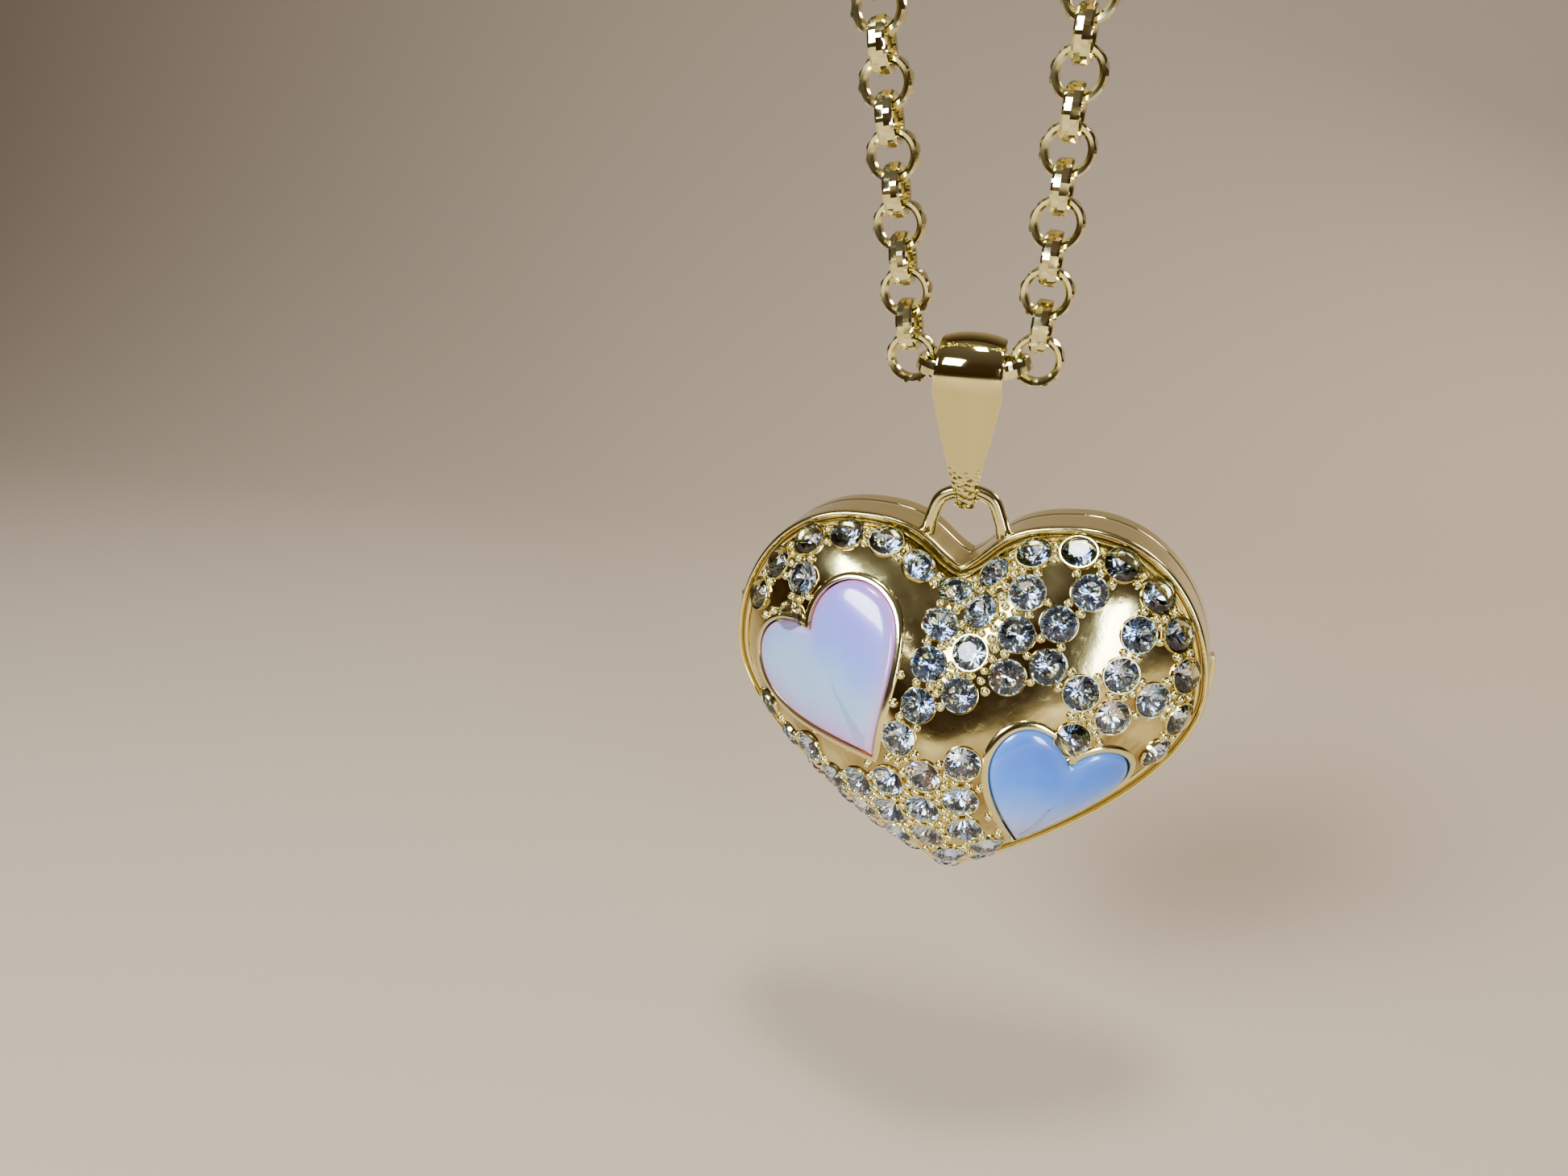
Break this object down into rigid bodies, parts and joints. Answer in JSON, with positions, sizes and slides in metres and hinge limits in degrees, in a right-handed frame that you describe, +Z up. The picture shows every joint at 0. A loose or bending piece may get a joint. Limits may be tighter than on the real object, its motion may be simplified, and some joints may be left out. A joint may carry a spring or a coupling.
{
  "type": "heart locket",
  "caption": "Puffed heart locket with pave stone seats and two pearl heart inlays, a hinged back, photo frames, a bail and a belcher chain with a clasp.",
  "frame": {"origin": "the point that the necklace hangs from, halfway along its clasp end", "axes": "+Z up, +Y towards the back of the locket, +X to the right of someone facing the front"},
  "size_m": [0.0327, 0.0121, 0.0616],
  "materials": {
    "gold_plate": "polished pale gold plating",
    "inner_gold": "plain darker brass of the pin and catch",
    "spring_steel": "bright spring steel",
    "pink_pearl": "polished pink mother-of-pearl",
    "blue_pearl": "polished blue mother-of-pearl",
    "clear_window": "clear thin window",
    "photo_card": "plain card with a fine tooth"
  },
  "bodies": {
    "chain": {"link_centre": "gold_plate", "link_left_01": "gold_plate", "link_left_02": "gold_plate", "link_left_03": "gold_plate", "link_left_04": "gold_plate", "link_left_05": "gold_plate", "link_left_06": "gold_plate", "link_left_07": "gold_plate", "link_left_08": "gold_plate", "link_left_09": "gold_plate", "link_left_10": "gold_plate", "link_left_11": "gold_plate", "link_left_12": "gold_plate", "link_left_13": "gold_plate", "link_left_14": "gold_plate", "link_right_01": "gold_plate", "link_right_02": "gold_plate", "link_right_03": "gold_plate", "link_right_04": "gold_plate", "link_right_05": "gold_plate", "link_right_06": "gold_plate", "link_right_07": "gold_plate", "link_right_08": "gold_plate", "link_right_09": "gold_plate", "link_right_10": "gold_plate", "link_right_11": "gold_plate", "link_right_12": "gold_plate", "end_ring": "gold_plate", "jump_ring": "gold_plate", "clasp_body": "gold_plate", "clasp_pin": "spring_steel", "clasp_spring": "spring_steel"},
    "clasp_trigger": {"clasp_trigger": "gold_plate"},
    "bail": {"bail": "gold_plate"},
    "locket": {"front_shell": "gold_plate", "pink_pearl_heart": "pink_pearl", "blue_pearl_heart": "blue_pearl", "top_loop": "gold_plate", "front_photo_frame": "gold_plate", "front_window": "clear_window", "front_photo_card": "photo_card", "hinge_pin": "inner_gold"},
    "back_cover": {"back_cover": "gold_plate", "thumb_tab": "gold_plate", "catch_tongue": "inner_gold", "back_photo_frame": "gold_plate", "back_window": "clear_window", "back_photo_card": "photo_card"}
  },
  "joints": [
    {"name": "bail_swing", "type": "hinge", "parent": "chain", "child": "bail", "pos_m": [0.00045, 0.00169, -0.02416], "axis": [1, 0, 0], "range_deg": [-25, 25]},
    {"name": "locket_swing", "type": "hinge", "parent": "bail", "child": "locket", "pos_m": [-0.00012, 0.00411, -0.03208], "axis": [1, 0, 0], "range_deg": [-30, 30]},
    {"name": "cover_hinge", "type": "hinge", "parent": "locket", "child": "back_cover", "pos_m": [-0.01602, 0.00611, -0.04368], "axis": [0, 0, 1], "range_deg": [0, 150]},
    {"name": "trigger_press", "type": "hinge", "parent": "chain", "child": "clasp_trigger", "pos_m": [0.00245, 0.00004, -0.00052], "axis": [0.0023, -0.9976, -0.0697], "range_deg": [0, 22], "stiffness_Nm_per_rad": 0.002}
  ]
}
